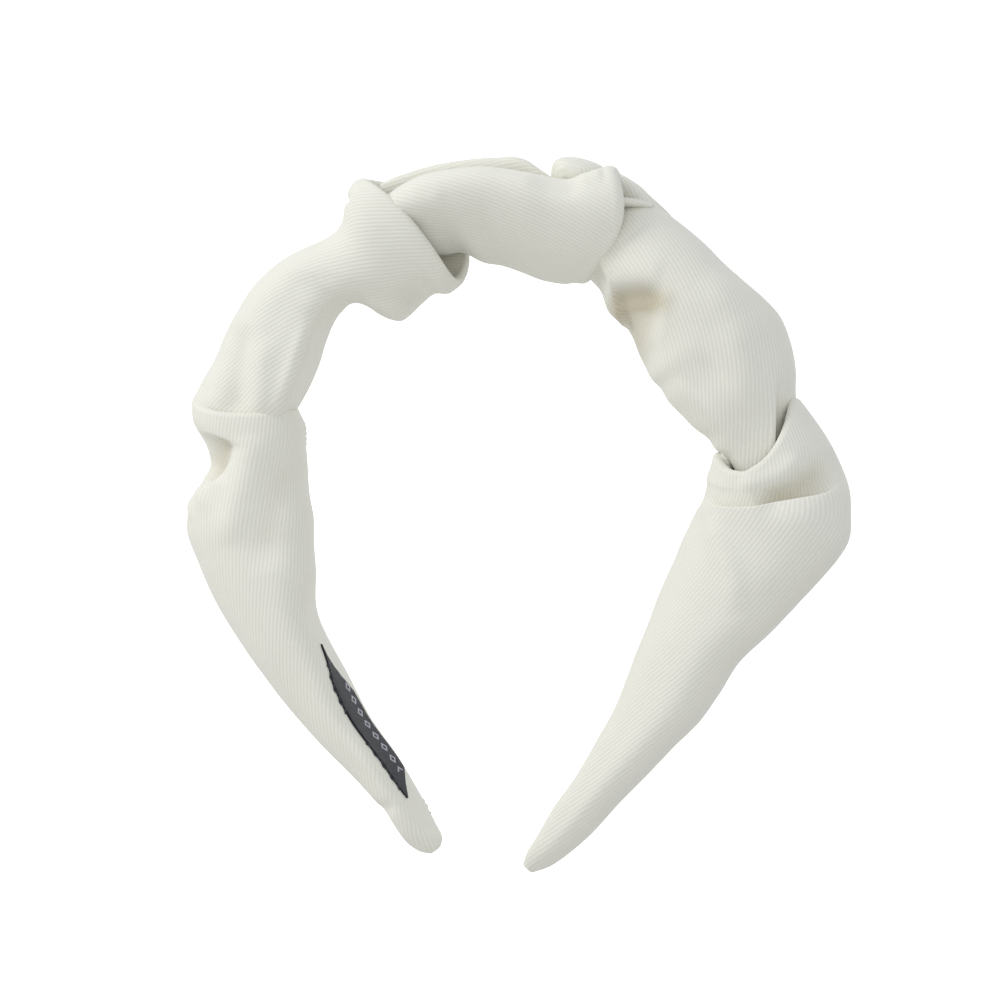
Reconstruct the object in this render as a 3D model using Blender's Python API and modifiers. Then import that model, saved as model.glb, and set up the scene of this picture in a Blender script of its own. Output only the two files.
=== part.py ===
"""Knotted, padded headband: a fabric-covered sprung band wrapped in a knotted twill tube.

The arch stands upright: X runs left to right, -Y faces the front and +Z points up.  The origin is
the middle of the crown's underside, where the band rests on the head.  Every cross-section is
given in millimetres by its distance along the band's centreline from the crown (negative to the
wearer's right, drawn on the left) and by its height outside that centreline.
"""
import math
from collections import namedtuple

import bmesh
import bpy
from mathutils import Vector

MM = 0.001

# Centreline of the sprung band: crown arc, shoulder arc, then straight legs.
CROWN_RADIUS = 56.0
SHOULDER_RADIUS = 80.0
SHOULDER_TURN = math.radians(32.0)
SEAT_DEPTH = 7.6
LIFT_HEIGHT = 1.8
LIFT_CENTRE = -32.0
LIFT_REACH = 24.0

# Each leg turns about the band so that its inner face looks slightly forward or back.
LEFT_TURN = math.radians(17.0)
RIGHT_TURN = math.radians(-7.0)
TURN_START = 112.0
TURN_SPAN = 46.0

# Band, its tight cover and the clearances between layers.
BAND_HALF_LENGTH = 183.0
BAND_THICKNESS = 1.2
BAND_WIDTH = 10.0
BAND_TIP_WIDTH = 6.6
SLEEVE_HALF_LENGTH = 184.5
SLEEVE_WALL = 0.45
SLEEVE_GAP = 0.3
BAND_STATIONS = 30
LAYER_GAP = 0.35
FOLD_GAP = 0.6

# Knotted tube: wall of the folded twill and mesh density of its lengths.
WALL = 1.0
AROUND = 20
SECTION_POWER = 2.3
DRAWN_POWER = 4.6
DRAWN_FROM = -8.0
DRAWN_SPAN = 4.5
WADDING_AROUND = 12
WADDING_STATIONS = 7

# Woven label on the inner face of the left leg: its ends along the leg and its two long edges,
# with the front edge cut back over each end.
LABEL_TOP = -137.0
LABEL_BOTTOM = -178.0
LABEL_FRONT = 4.8
LABEL_BACK = 5.2
LABEL_CUT_TOP = 5.8
LABEL_CUT_BOTTOM = 2.8
LABEL_CUT_LENGTH = 9.0
LABEL_THICKNESS = 0.4
LABEL_STATIONS = 14
LABEL_ACROSS = 4

# Sewing thread.
THREAD_RADIUS = 0.25
TACK_ANGLE = math.radians(226.0)
CROWN_TACK_ANGLE = math.radians(206.0)
TACK_HALF_TURN = math.radians(5.0)

Ring = namedtuple("Ring", "s_out o_out s_in o_in front back bow")


def ring(s_out, o_out, s_in, o_in, front, back, bow=0.0):
    """One cross-section: outer end, inner end, reach to the front and back, bow of its front."""
    return Ring(s_out, o_out, s_in, o_in, front, back, bow)


LEFT_LEG = [
    ring(-78.5, 20.4, -74.5, -4.6, 14.5, 13.5, -2.6),
    ring(-83.5, 17.4, -80.0, -7.8, 14.5, 13.5, -1.4),
    ring(-91.0, 14.8, -88.0, -9.0, 14.0, 13.5),
    ring(-98.0, 18.6, -98.0, -9.6, 14.5, 13.5),
    ring(-107.0, 19.3, -108.0, -8.9, 15.0, 13.0),
    ring(-120.0, 16.8, -121.0, -6.6, 14.0, 12.0),
    ring(-134.0, 14.0, -134.0, -3.5, 12.5, 10.4),
    ring(-150.0, 10.2, -150.0, -3.3, 10.5, 8.8),
    ring(-166.0, 6.5, -166.0, -3.5, 9.0, 8.0),
    ring(-180.0, 4.2, -180.0, -4.2, 7.6, 7.0),
    ring(-188.5, 2.4, -188.0, -5.4, 5.6, 5.4),
    ring(-192.0, -0.9, -191.6, -4.4, 2.4, 2.4),
]

LEFT_SHOULDER = [
    ring(-90.0, 11.4, -88.0, -5.2, 10.0, 9.0),
    ring(-84.0, 13.0, -81.0, -4.4, 11.0, 10.0),
    ring(-78.5, 17.6, -75.5, -3.1, 12.0, 11.0),
    ring(-73.0, 18.6, -69.5, -4.2, 13.0, 12.0),
    ring(-64.0, 18.4, -61.0, -5.9, 14.0, 13.0),
    ring(-56.0, 19.4, -51.5, -2.8, 14.0, 13.0),
    ring(-47.0, 17.4, -43.5, -1.9, 14.0, 13.0),
    ring(-39.0, 15.9, -38.0, -8.8, 14.0, 13.0),
    ring(-34.0, 17.2, -32.5, -12.4, 14.5, 13.5),
    ring(-30.0, 21.2, -24.0, -11.4, 15.0, 14.0),
    ring(-27.5, 21.6, -15.5, -10.6, 15.0, 14.0),
]

CROWN = [
    ring(-37.0, 9.6, -37.0, -1.5, 9.0, 8.6),
    ring(-30.0, 12.0, -28.0, -1.5, 10.5, 9.0),
    ring(-23.0, 15.0, -19.5, -1.5, 12.5, 9.5),
    ring(-14.0, 16.2, -11.5, -3.8, 14.0, 10.0),
    ring(-4.0, 16.5, -2.0, -6.9, 14.5, 10.5),
    ring(5.0, 15.6, 8.0, -8.5, 15.0, 11.0),
    ring(12.0, 15.7, 14.5, -8.6, 15.0, 11.5, 2.6),
    ring(15.8, 18.8, 18.0, -7.6, 15.0, 11.5, 4.4),
    ring(17.6, 21.6, 20.0, -6.9, 14.6, 11.2, 5.6),
]

RIGHT_SHOULDER = [
    ring(9.0, 10.4, 10.0, -3.4, 9.5, 8.4),
    ring(15.0, 12.2, 16.0, -3.9, 11.0, 8.6),
    ring(21.0, 14.8, 22.0, -4.8, 12.0, 9.0),
    ring(27.0, 17.2, 29.0, -7.8, 14.0, 11.5),
    ring(37.0, 18.2, 39.0, -10.0, 14.5, 13.5),
    ring(48.0, 19.4, 50.0, -12.2, 15.0, 14.0),
    ring(57.0, 22.2, 58.5, -11.8, 15.0, 14.0),
    ring(66.0, 20.8, 67.5, -8.8, 14.0, 13.5),
    ring(72.0, 17.4, 74.0, -5.6, 12.0, 11.5),
    ring(78.0, 12.8, 79.0, -3.4, 10.0, 9.5),
    ring(88.0, 10.6, 84.0, -2.8, 8.5, 8.5),
]

RIGHT_LEG = [
    ring(73.0, 19.4, 82.0, -4.4, 14.5, 14.0, 8.0),
    ring(79.0, 24.0, 86.5, -5.0, 14.5, 14.5, 5.2),
    ring(87.0, 29.0, 92.0, -4.8, 15.0, 14.5, 2.4),
    ring(95.0, 30.6, 99.0, -6.4, 15.5, 14.5),
    ring(103.0, 27.0, 108.0, -7.7, 15.5, 14.0),
    ring(115.0, 19.9, 120.0, -7.6, 14.5, 13.0),
    ring(128.0, 15.4, 131.0, -6.6, 13.0, 12.0),
    ring(142.0, 14.4, 144.0, -4.2, 11.5, 10.5),
    ring(158.0, 11.2, 158.0, -3.4, 10.0, 9.5),
    ring(174.0, 8.9, 173.5, -3.2, 8.5, 8.0),
    ring(187.0, 5.9, 186.5, -3.0, 6.4, 6.2),
    ring(193.4, 2.4, 192.6, -0.4, 2.6, 2.6),
]


def band_lift(s):
    """Outward bow of the band between the two left knots."""
    return LIFT_HEIGHT * math.exp(-((s - LIFT_CENTRE) / LIFT_REACH) ** 4)


def leg_turn(s):
    """Turn of the legs about the band, easing in below the shoulders."""
    share = min(max((abs(s) - TURN_START) / TURN_SPAN, 0.0), 1.0)
    full = LEFT_TURN if s < 0.0 else RIGHT_TURN
    return full * share * share * (3.0 - 2.0 * share)


def arch_point(s, outward, backward):
    """World position of a point s along the centreline, outside it and behind it, in millimetres."""
    side = -1.0 if s < 0.0 else 1.0
    reach = abs(s)
    turned = leg_turn(s)
    o = outward * math.cos(turned) - backward * math.sin(turned)
    y = outward * math.sin(turned) + backward * math.cos(turned)
    crown_length = CROWN_RADIUS * math.pi / 2.0
    shoulder_length = SHOULDER_RADIUS * SHOULDER_TURN
    if reach <= crown_length:
        turn = reach / CROWN_RADIUS
        x = CROWN_RADIUS * math.sin(turn)
        z = CROWN_RADIUS * math.cos(turn)
        out_x = math.sin(turn)
        out_z = math.cos(turn)
    else:
        turn = min((reach - crown_length) / SHOULDER_RADIUS, SHOULDER_TURN)
        leg = max(reach - crown_length - shoulder_length, 0.0)
        out_x = math.cos(turn)
        out_z = -math.sin(turn)
        x = CROWN_RADIUS - SHOULDER_RADIUS * (1.0 - math.cos(turn)) + leg * out_z
        z = -SHOULDER_RADIUS * math.sin(turn) - leg * out_x
    seat_z = CROWN_RADIUS - SEAT_DEPTH
    return Vector((side * (x + o * out_x), y, z + o * out_z - seat_z)) * MM


def blend(first, start, end, last, t):
    """Catmull-Rom value between start and end."""
    ease = 2.0 * start + (end - first) * t
    bend = 2.0 * first - 5.0 * start + 4.0 * end - last
    twist = 3.0 * start - first - 3.0 * end + last
    return 0.5 * (ease + bend * t * t + twist * t * t * t)


def ring_at(rings, position):
    """Smoothly interpolated cross-section at a fraction 0 to 1 of a length of tube."""
    scaled = min(max(position, 0.0), 1.0) * (len(rings) - 1)
    index = min(int(scaled), len(rings) - 2)
    before = rings[max(index - 1, 0)]
    after = rings[min(index + 2, len(rings) - 1)]
    columns = zip(before, rings[index], rings[index + 1], after)
    return Ring(*[blend(*column, scaled - index) for column in columns])


def signed_power(value, power):
    """Power of the absolute value, keeping the sign."""
    return math.copysign(abs(value) ** power, value)


def inner_power(section):
    """Squareness of a section's inner half, greatest where the cloth is drawn flat on the band."""
    drawn = min(max((section.o_in - DRAWN_FROM) / DRAWN_SPAN, 0.0), 1.0)
    return SECTION_POWER + (DRAWN_POWER - SECTION_POWER) * drawn


def section_point(section, angle, grow=0.0):
    """Point on a cross-section; angle 0 is its outer end and 90 degrees its front."""
    length = math.hypot(section.s_out - section.s_in, section.o_out - section.o_in)
    half_length = 0.5 * length + grow
    half_depth = 0.5 * (section.front + section.back) + grow
    power = inner_power(section) if math.cos(angle) < 0.0 else SECTION_POWER
    radial = half_length * signed_power(math.cos(angle), 2.0 / power)
    front = signed_power(math.sin(angle), 2.0 / power)
    y = 0.5 * (section.back - section.front) - half_depth * front
    share = 0.5 + radial / length
    s = section.s_in + (section.s_out - section.s_in) * share
    o = section.o_in + (section.o_out - section.o_in) * share
    s += section.bow * max(front, 0.0) ** 2
    return arch_point(s, o, y)


def ring_points(section, count):
    """Evenly turned points round a cross-section, with a flat across each end."""
    return [section_point(section, 2.0 * math.pi * (k + 0.5) / count) for k in range(count)]


def inner_face_point(section, backward, grow):
    """Point just off the head side of a cross-section, at a distance behind its middle plane."""
    half_depth = 0.5 * (section.front + section.back) + grow
    forward = (0.5 * (section.back - section.front) - backward) / half_depth
    angle = math.pi - math.asin(signed_power(forward, 0.5 * inner_power(section)))
    return section_point(section, angle, grow)


def loft(name, loops, cap_start, cap_end, material):
    """Skin a list of equal point loops into one mesh object."""
    mesh = bpy.data.meshes.new(name)
    build = bmesh.new()
    rows = [[build.verts.new(point) for point in loop] for loop in loops]
    count = len(rows[0])
    for lower, upper in zip(rows, rows[1:]):
        for k in range(count):
            nxt = (k + 1) % count
            build.faces.new((lower[k], lower[nxt], upper[nxt], upper[k]))
    if cap_start:
        build.faces.new(rows[0])
    if cap_end:
        build.faces.new(rows[-1])
    bmesh.ops.recalc_face_normals(build, faces=build.faces)
    for face in build.faces:
        face.smooth = True
    build.to_mesh(mesh)
    build.free()
    item = bpy.data.objects.new(name, mesh)
    item.data.materials.append(material)
    COLLECTION.objects.link(item)
    return item


def add_wall(item, thickness):
    """Give an open skin its fabric thickness, inwards."""
    wall = item.modifiers.new("wall", "SOLIDIFY")
    wall.thickness = thickness * MM
    wall.offset = -1.0
    wall.use_even_offset = True
    wall.use_rim = True
    return item


def fabric_tube(name, rings, stations, cap_end, material):
    """Hollow length of the knotted tube, open at its first ring."""
    loops = [ring_points(ring_at(rings, k / (stations - 1)), AROUND) for k in range(stations)]
    return add_wall(loft(name, loops, False, cap_end, material), WALL)


def wadding(name, rings, start, end, material):
    """Soft filler lying on the outer side of the covered band inside a length of tube."""
    loops = []
    for k in range(WADDING_STATIONS):
        share = k / (WADDING_STATIONS - 1)
        host = ring_at(rings, start + (end - start) * share)
        plump = math.sin(math.pi * (0.12 + 0.76 * share)) ** 0.5
        floor = 2.4 + band_lift(host.s_in)
        top = floor + (host.o_out - WALL - 1.6 - floor) * plump
        lean = (host.s_out - host.s_in) / (host.o_out - host.o_in)
        front = 0.66 * host.front * plump
        back = 0.66 * host.back * plump
        s_floor = host.s_in + lean * (floor - host.o_in)
        s_top = host.s_in + lean * (top - host.o_in)
        bolster = Ring(s_top, top, s_floor, floor, front, back, 0.0)
        loops.append(ring_points(bolster, WADDING_AROUND))
    return loft(name, loops, True, True, material)


def draped_fold(name, rings, span, sweep, thickness, material, stations=7, steps=6):
    """Padded fold of the tube lying on the outside of a neighbouring length.

    span is the share of the host's length covered; sweep is the turn covered, in degrees.
    """
    loops = []
    for k in range(stations):
        share = k / (stations - 1)
        host = ring_at(rings, span[0] + (span[1] - span[0]) * share)
        end_swell = math.sin(math.pi * (0.1 + 0.8 * share)) ** 0.6
        outer = []
        inner = []
        for step in range(steps + 1):
            turn = step / steps
            angle = math.radians(sweep[0] + (sweep[1] - sweep[0]) * turn)
            swell = end_swell * (0.25 + 0.75 * math.sin(math.pi * turn) ** 0.5)
            outer.append(section_point(host, angle, FOLD_GAP + thickness * swell))
            inner.append(section_point(host, angle, FOLD_GAP))
        loops.append(outer + inner[::-1])
    return loft(name, loops, True, True, material)


def band_loops(half_length, half_thickness, grow_width):
    """Chamfered flat sections along the band's centreline."""
    loops = []
    corner = 0.45
    for k in range(BAND_STATIONS):
        s = half_length * (2.0 * k / (BAND_STATIONS - 1) - 1.0)
        taper = min(1.0, max(0.0, (abs(s) - 0.55 * half_length) / (0.45 * half_length)))
        half_width = 0.5 * (BAND_WIDTH + (BAND_TIP_WIDTH - BAND_WIDTH) * taper) + grow_width
        lift = band_lift(s)
        outline = [
            (half_thickness, half_width - corner),
            (half_thickness - corner, half_width),
            (corner - half_thickness, half_width),
            (-half_thickness, half_width - corner),
            (-half_thickness, corner - half_width),
            (corner - half_thickness, -half_width),
            (half_thickness - corner, -half_width),
            (half_thickness, corner - half_width),
        ]
        loops.append([arch_point(s, lift + o, y) for o, y in outline])
    return loops


def ring_beside(rings, s):
    """Cross-section whose inner end lies nearest to a place along the centreline."""
    samples = [ring_at(rings, k / 400.0) for k in range(401)]
    return min(samples, key=lambda section: abs(section.s_in - s))


def label_point(along, across, grow):
    """Point on the label: shares along it from its top and across it from its back edge."""
    s = LABEL_TOP + (LABEL_BOTTOM - LABEL_TOP) * along
    from_top = abs(s - LABEL_TOP) / LABEL_CUT_LENGTH
    from_bottom = abs(s - LABEL_BOTTOM) / LABEL_CUT_LENGTH
    cut = LABEL_CUT_TOP * max(1.0 - from_top, 0.0) ** 2
    cut += LABEL_CUT_BOTTOM * max(1.0 - from_bottom, 0.0) ** 2
    backward = LABEL_BACK - (LABEL_BACK + LABEL_FRONT - cut) * across
    return inner_face_point(ring_beside(LEFT_LEG, s), backward, grow)


def draped_label(name, material):
    """Thin strip that follows the inner face of the left leg."""
    loops = []
    for k in range(LABEL_STATIONS):
        along = k / (LABEL_STATIONS - 1)
        shares = [j / LABEL_ACROSS for j in range(LABEL_ACROSS + 1)]
        under = [label_point(along, across, FOLD_GAP) for across in shares]
        over = [label_point(along, across, FOLD_GAP + LABEL_THICKNESS) for across in shares]
        loops.append(under + over[::-1])
    return loft(name, loops, True, True, material)


def thread(name, points, material):
    """One length of sewing thread through a row of points."""
    curve = bpy.data.curves.new(name, "CURVE")
    curve.dimensions = "3D"
    curve.bevel_depth = THREAD_RADIUS * MM
    curve.bevel_resolution = 1
    curve.use_fill_caps = True
    spline = curve.splines.new("POLY")
    spline.points.add(len(points) - 1)
    for spot, point in zip(spline.points, points):
        spot.co = (*point, 1.0)
    item = bpy.data.objects.new(name, curve)
    item.data.materials.append(material)
    COLLECTION.objects.link(item)
    return item


def whip_stitch(rings, start, end, count, angle):
    """Zigzag of thread points along a length of tube, centred on one angle round it."""
    points = []
    for k in range(count):
        host = ring_at(rings, start + (end - start) * k / (count - 1))
        side = TACK_HALF_TURN if k % 2 else -TACK_HALF_TURN
        points.append(section_point(host, angle + side, LAYER_GAP + THREAD_RADIUS))
    return points


def surface(name, colour, roughness):
    """Plain shader for one sub-part."""
    material = bpy.data.materials.new(name)
    material.use_nodes = True
    shader = material.node_tree.nodes["Principled BSDF"]
    shader.inputs["Base Color"].default_value = (*colour, 1.0)
    shader.inputs["Roughness"].default_value = roughness
    shader.inputs["Metallic"].default_value = 0.0
    return material


for existing in list(bpy.data.objects):
    bpy.data.objects.remove(existing, do_unlink=True)

COLLECTION = bpy.data.collections.new("knotted_headband")
bpy.context.scene.collection.children.link(COLLECTION)

TWILL = (0.83, 0.81, 0.74)
THREAD = (0.80, 0.78, 0.70)

# Sprung band and its tight cover.
core = loft(
    "core_band",
    band_loops(BAND_HALF_LENGTH, 0.5 * BAND_THICKNESS, 0.0),
    True,
    True,
    surface("band_plastic", (0.78, 0.77, 0.72), 0.45),
)
core.data.shade_flat()
sleeve_grow = SLEEVE_GAP + SLEEVE_WALL
sleeve = loft(
    "band_sleeve",
    band_loops(SLEEVE_HALF_LENGTH, 0.5 * BAND_THICKNESS + sleeve_grow, sleeve_grow),
    False,
    False,
    surface("band_sleeve_twill", TWILL, 0.85),
)
add_wall(sleeve, SLEEVE_WALL)

# Lengths of the knotted tube between the knots.
fabric_tube("left_leg_sleeve", LEFT_LEG, 18, True, surface("left_leg_twill", TWILL, 0.85))
fabric_tube("left_shoulder_puff", LEFT_SHOULDER, 16, False, surface("left_puff_twill", TWILL, 0.85))
fabric_tube("crown_puff", CROWN, 13, False, surface("crown_twill", TWILL, 0.85))
fabric_tube(
    "right_shoulder_puff", RIGHT_SHOULDER, 16, False, surface("right_puff_twill", TWILL, 0.85)
)
fabric_tube("right_leg_sleeve", RIGHT_LEG, 18, True, surface("right_leg_twill", TWILL, 0.85))

# Folds that pass behind and over the crown at the two upper knots.
draped_fold(
    "crown_back_strand", CROWN, (0.13, 0.68), (5.0, -80.0), 3.4, surface("strand_twill", TWILL, 0.85)
)
draped_fold(
    "upper_right_knot_loop",
    CROWN,
    (0.70, 0.95),
    (6.0, -134.0),
    4.4,
    surface("loop_twill", TWILL, 0.85),
    steps=9,
)
draped_fold(
    "upper_right_knot_tuck",
    RIGHT_SHOULDER,
    (0.235, 0.36),
    (-8.0, -64.0),
    2.6,
    surface("tuck_twill", TWILL, 0.85),
    stations=5,
)
draped_fold(
    "upper_right_knot_roll",
    RIGHT_SHOULDER,
    (0.235, 0.35),
    (22.0, 2.0),
    1.6,
    surface("roll_twill", TWILL, 0.85),
    stations=5,
    steps=4,
)

# Wadding inside each length.
FILL = (0.93, 0.93, 0.91)
wadding("left_leg_wadding", LEFT_LEG, 0.22, 0.66, surface("left_leg_fill", FILL, 0.95))
wadding("left_shoulder_wadding", LEFT_SHOULDER, 0.12, 0.62, surface("left_puff_fill", FILL, 0.95))
wadding("crown_wadding", CROWN, 0.10, 0.63, surface("crown_fill", FILL, 0.95))
wadding("right_shoulder_wadding", RIGHT_SHOULDER, 0.10, 0.86, surface("right_puff_fill", FILL, 0.95))
wadding("right_leg_wadding", RIGHT_LEG, 0.27, 0.76, surface("right_leg_fill", FILL, 0.95))

# Woven label, sewn across both of its short ends.
draped_label("woven_label", surface("label_satin", (0.05, 0.06, 0.08), 0.55))
stitch_height = FOLD_GAP + LABEL_THICKNESS + LAYER_GAP + THREAD_RADIUS
for title, near, far in (("label_stitch_upper", 0.05, 0.075), ("label_stitch_lower", 0.98, 0.955)):
    points = []
    for k in range(7):
        points.append(label_point(far if k % 2 else near, 0.14 + 0.12 * k, stitch_height))
    thread(title, points, surface(title + "_thread", (0.07, 0.08, 0.10), 0.6))

# Hand stitches that hold the knots and close the tips, all on the hidden underside.
STITCH_ROWS = [
    ("lower_left_knot_tack", LEFT_LEG, 0.03, 0.09, 5, TACK_ANGLE),
    ("upper_left_knot_tack", LEFT_SHOULDER, 0.88, 0.96, 5, TACK_ANGLE),
    ("upper_right_knot_tack", CROWN, 0.80, 0.92, 5, CROWN_TACK_ANGLE),
    ("lower_right_knot_tack", RIGHT_LEG, 0.05, 0.11, 5, TACK_ANGLE),
    ("left_tip_stitch", LEFT_LEG, 0.88, 0.95, 7, TACK_ANGLE),
    ("right_tip_stitch", RIGHT_LEG, 0.88, 0.95, 7, TACK_ANGLE),
]
for title, rings, start, end, count, angle in STITCH_ROWS:
    points = whip_stitch(rings, start, end, count, angle)
    thread(title, points, surface(title + "_thread", THREAD, 0.7))
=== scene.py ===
"""Visual model of the knotted headband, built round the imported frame.

Cross-sections are given in millimetres along the band's centreline, from the crown (negative on
the left), and outside it.  Angle 0 round a section is its outer end, 90 degrees its front.
"""
import math

import bpy
import numpy as np
from mathutils import Matrix, Vector


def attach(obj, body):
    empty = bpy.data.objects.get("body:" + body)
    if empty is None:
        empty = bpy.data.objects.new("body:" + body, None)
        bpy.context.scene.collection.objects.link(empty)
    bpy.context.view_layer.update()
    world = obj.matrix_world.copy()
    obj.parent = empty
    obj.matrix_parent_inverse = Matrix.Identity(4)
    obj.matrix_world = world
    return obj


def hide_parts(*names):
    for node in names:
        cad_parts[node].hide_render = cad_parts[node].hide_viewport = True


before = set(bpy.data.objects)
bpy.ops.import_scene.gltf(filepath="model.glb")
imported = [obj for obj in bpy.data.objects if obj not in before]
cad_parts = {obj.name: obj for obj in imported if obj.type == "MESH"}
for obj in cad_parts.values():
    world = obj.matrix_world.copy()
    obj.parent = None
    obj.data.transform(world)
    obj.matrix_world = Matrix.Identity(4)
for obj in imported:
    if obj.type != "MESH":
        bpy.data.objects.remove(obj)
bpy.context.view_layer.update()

MM = 0.001
CROWN_RADIUS = 56.0
SHOULDER_RADIUS = 80.0
SHOULDER_TURN = math.radians(32.0)
SEAT_Z = 48.4
LEFT_TURN = math.radians(17.0)
RIGHT_TURN = math.radians(-7.0)
TURN_START = 112.0
TURN_SPAN = 46.0

# The cloth's ribs and the yarn steps along them; ribs are set out from a path this far outside.
RIB_PITCH = 0.98
YARN_PITCH = 0.66
PATH_HEIGHT = 6.0

# Samples round a section while it is measured, and relaxing passes after its folds are made.
SECTION_SAMPLES = 721
SMOOTH_PASSES = 3

# Rolled mouths: steps round the roll, how much deeper each turned-in row lies, the painted shade
# inside, and how many rows of the roll stay without painted shade.
LIP_STEPS = 8
LIP_SINK = 0.02
MOUTH_PAINTED_SHADE = 0.35
ROWS_WITHOUT_SHADE = 6

# Painted shade in deep folds: the depth where it starts, how much deeper it is full, and its softening.
PAINTED_SHADE_START = 1.0
PAINTED_SHADE_SPAN = 4.6
PAINTED_SHADE_PASSES = 8

# Fold over the top at the upper right knot: its turn about the band in degrees, its place, drift
# and half width along the band, half its thickness and its squareness, the centre and two radii of
# the turn, how far along its crown falls away, and the angle of its ribs.
LOOP_START = -20.0
LOOP_END = 124.0
LOOP_PLACE = 11.8
LOOP_DRIFT = 4.5
LOOP_HALF_WIDTH = 7.2
LOOP_HALF_DEPTH = 3.7
LOOP_POWER = 2.4
LOOP_OUTWARD = 3.6
LOOP_FORWARD = 1.0
LOOP_RADIUS = 14.4
LOOP_DEPTH_RADIUS = 13.6
LOOP_CROWN_REACH = 8.0
LOOP_RIB_ANGLE = math.radians(-62.0)

# Tight cover of the sprung band: half its length, half its height and the squareness of its
# section, its half width at distances from the crown, and its rise under the upper left knot.
SLEEVE_HALF_LENGTH = 179.0
SLEEVE_TOP = 1.45
SLEEVE_POWER = 0.6
SLEEVE_WIDTH = ((0.0, 5.9), (100.0, 5.9), (178.0, 3.6))
SLEEVE_RISE = 1.8
SLEEVE_RISE_AT = -32.0
SLEEVE_RISE_REACH = 24.0

# Woven label: its ends along the left leg, how far it reaches to the front and back of the leg's
# inner edge at stations between them, and the heights of its two faces over the cloth.
LABEL_TOP = -135.8
LABEL_BOTTOM = -178.3
LABEL_STATIONS = (-178.3, -176.5, -174.5, -171.0, -165.0, -153.0, -149.0, -145.5, -142.0, -139.0, -135.8)
LABEL_FRONT = (2.0, 2.5, 2.9, 3.4, 3.9, 4.6, 4.9, 5.0, 3.6, 2.6, 2.0)
LABEL_BACK = (-1.9, -0.4, 1.2, 5.0, 5.0, 5.0, 4.4, 2.0, -0.4, -1.6, -1.9)
LABEL_OVER = 0.5
LABEL_UNDER = 0.05

# Row of diamonds on the label: spacing, how far behind the leg's inner edge it lies, and the
# middle and half length of the row.  Across a diamond, its measure grows by 1 in its spread; it is
# drawn where the measure lies between the hole and the edge.
DIAMOND_PITCH = 3.4
DIAMOND_BEHIND = 2.0
DIAMOND_CENTRE = 20.4
DIAMOND_REACH = 15.4
DIAMOND_SPREAD = 1.7
DIAMOND_HOLE = 0.42
DIAMOND_EDGE = 0.85

# Sewing thread: its radius, a tack's height over the cloth and its bite, and the points in a row
# of stitches.
THREAD_RADIUS = 0.22
THREAD_LIFT = 0.05
TACK_BITE = 0.8
STITCH_POINTS = 9

# Painted shade: colour that deep folds are multiplied by.
FOLD_SHADE_COLOUR = (0.70, 0.65, 0.55)

# Camera: its turn round the object and its roll, its distance and target in metres, and its lens.
CAMERA_AZIMUTH = math.radians(10.0)
CAMERA_ROLL = math.atan(0.051)
CAMERA_DISTANCE = 1.5
CAMERA_LENS = 225.0
CAMERA_TARGET = Vector((0.000975, 0.0, -0.05535))


def eased(share):
    """Smooth step from 0 to 1."""
    return share * share * (3.0 - 2.0 * share)


def arch(s, outward, backward):
    """World position, in millimetres, of points along, outside and behind the centreline."""
    s, outward, backward = np.broadcast_arrays(s, outward, backward)
    side = np.where(s < 0.0, -1.0, 1.0)
    reach = np.abs(s)
    share = np.clip((reach - TURN_START) / TURN_SPAN, 0.0, 1.0)
    turned = np.where(s < 0.0, LEFT_TURN, RIGHT_TURN) * eased(share)
    o = outward * np.cos(turned) - backward * np.sin(turned)
    y = outward * np.sin(turned) + backward * np.cos(turned)
    crown = CROWN_RADIUS * math.pi / 2.0
    on_crown = reach <= crown
    a = reach / CROWN_RADIUS
    b = np.clip((reach - crown) / SHOULDER_RADIUS, 0.0, SHOULDER_TURN)
    leg = np.maximum(reach - crown - SHOULDER_RADIUS * SHOULDER_TURN, 0.0)
    nx = np.where(on_crown, np.sin(a), np.cos(b))
    nz = np.where(on_crown, np.cos(a), -np.sin(b))
    x = np.where(
        on_crown,
        CROWN_RADIUS * np.sin(a),
        CROWN_RADIUS - SHOULDER_RADIUS * (1.0 - np.cos(b)) - leg * np.sin(b),
    )
    z = np.where(on_crown, CROWN_RADIUS * np.cos(a), -SHOULDER_RADIUS * np.sin(b) - leg * np.cos(b))
    return np.stack([side * (x + o * nx), y, z + o * nz - SEAT_Z], axis=-1)


def spline(rows, count):
    """Catmull-Rom curve through rows, sampled count times."""
    rows = np.asarray(rows, float)
    padded = np.vstack([rows[:1], rows, rows[-1:]])
    t = np.linspace(0.0, len(rows) - 1.0, count)
    index = np.minimum(t.astype(int), len(rows) - 2)
    f = (t - index)[:, None]
    p0, p1, p2, p3 = (padded[index + k] for k in range(4))
    return 0.5 * (
        2.0 * p1
        + (p2 - p0) * f
        + (2.0 * p0 - 5.0 * p1 + 4.0 * p2 - p3) * f * f
        + (3.0 * p1 - p0 - 3.0 * p2 + p3) * f * f * f
    )


def signed_power(value, power):
    """Power of a value's size, with the value's own sign."""
    return np.sign(value) * np.abs(value) ** power


def angles_round(count):
    """Angles once round a section from its back: 0 is its outer end, 90 degrees its front."""
    return np.radians(np.linspace(-90.0, 270.0, count))


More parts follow.
